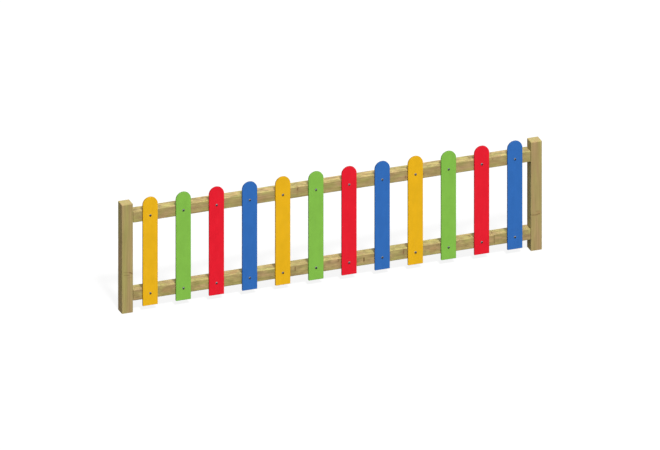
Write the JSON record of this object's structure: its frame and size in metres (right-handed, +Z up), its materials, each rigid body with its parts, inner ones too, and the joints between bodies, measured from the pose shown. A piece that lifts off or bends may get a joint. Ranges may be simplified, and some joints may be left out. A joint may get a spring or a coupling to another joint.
{
  "type": "playground fence",
  "caption": "Straight playground fence bay: round-headed coloured pickets screwed to the front of two square timber rails between two square timber posts.",
  "frame": {"origin": "middle of the left post's foot, at ground level", "axes": "+X along the fence to the right post, +Z up, the pickets face -Y"},
  "size_m": [3.38, 0.105, 0.9449],
  "materials": {
    "treated_pine": "matte",
    "yellow_board": "satin",
    "green_board": "satin",
    "red_board": "satin",
    "blue_board": "satin",
    "screw_steel": "satin"
  },
  "bodies": {
    "root": {"left_post": "treated_pine", "right_post": "treated_pine", "lower_rail": "treated_pine", "upper_rail": "treated_pine", "picket_01_yellow": "yellow_board", "picket_02_green": "green_board", "picket_03_red": "red_board", "picket_04_blue": "blue_board", "picket_05_yellow": "yellow_board", "picket_06_green": "green_board", "picket_07_red": "red_board", "picket_08_blue": "blue_board", "picket_09_yellow": "yellow_board", "picket_10_green": "green_board", "picket_11_red": "red_board", "picket_12_blue": "blue_board"}
  },
  "joints": []
}
